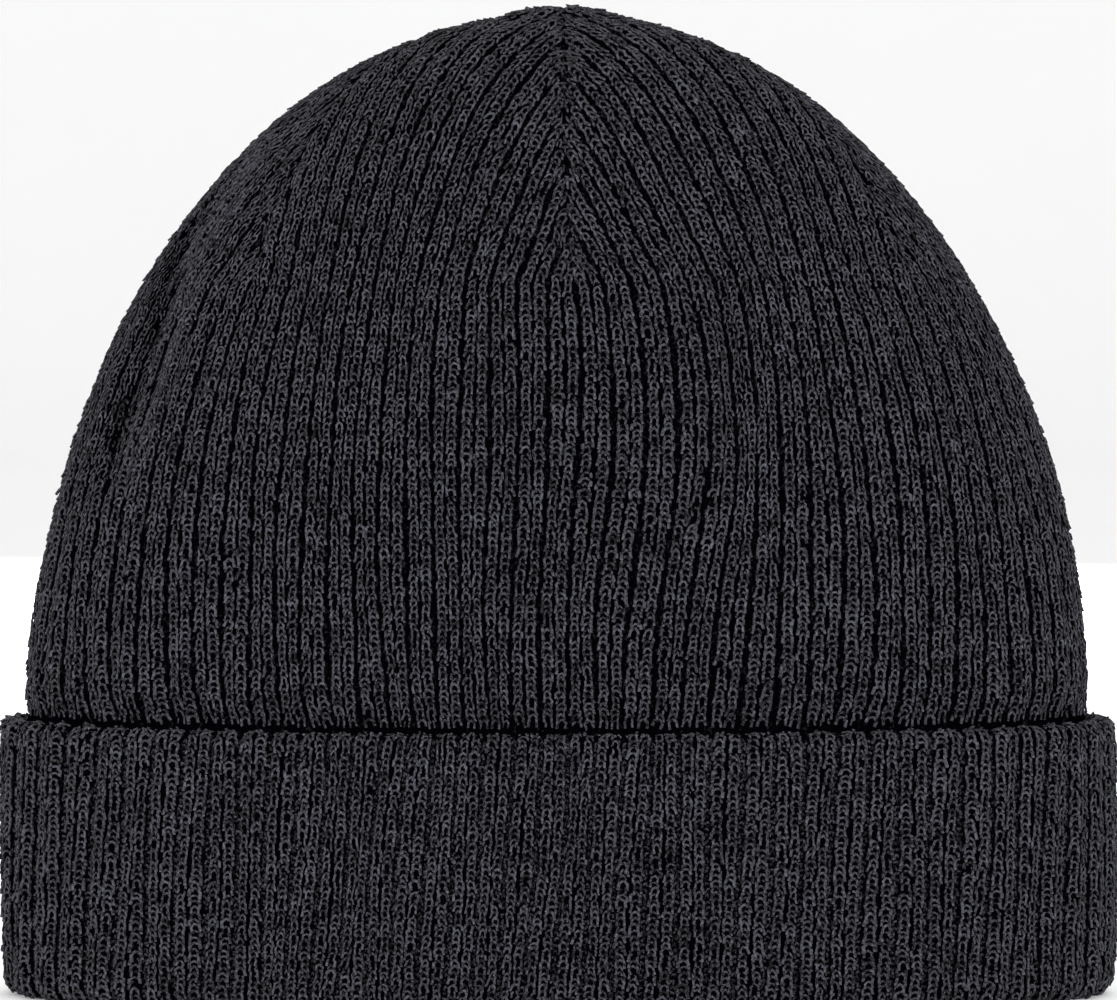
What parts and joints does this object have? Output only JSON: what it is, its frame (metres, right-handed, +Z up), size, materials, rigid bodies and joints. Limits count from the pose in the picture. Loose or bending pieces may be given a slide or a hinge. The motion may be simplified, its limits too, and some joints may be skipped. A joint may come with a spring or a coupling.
{
  "type": "knitted beanie",
  "caption": "Ribbed knit beanie with a domed crown shaped by darts and a wide turned-up cuff, standing on its fold, open below for a head.",
  "frame": {"origin": "on the ground, under the middle of the hat, which stands on the fold of its cuff", "axes": "+Z up through the top of the crown, +X to the wearer's side of the hat that is right in the front view, -Y towards the front"},
  "size_m": [0.2198, 0.0992, 0.1942],
  "materials": {
    "knit": "matt dark charcoal two-by-two rib knit"
  },
  "bodies": {
    "root": {"crown": "knit", "cuff": "knit"}
  },
  "joints": []
}
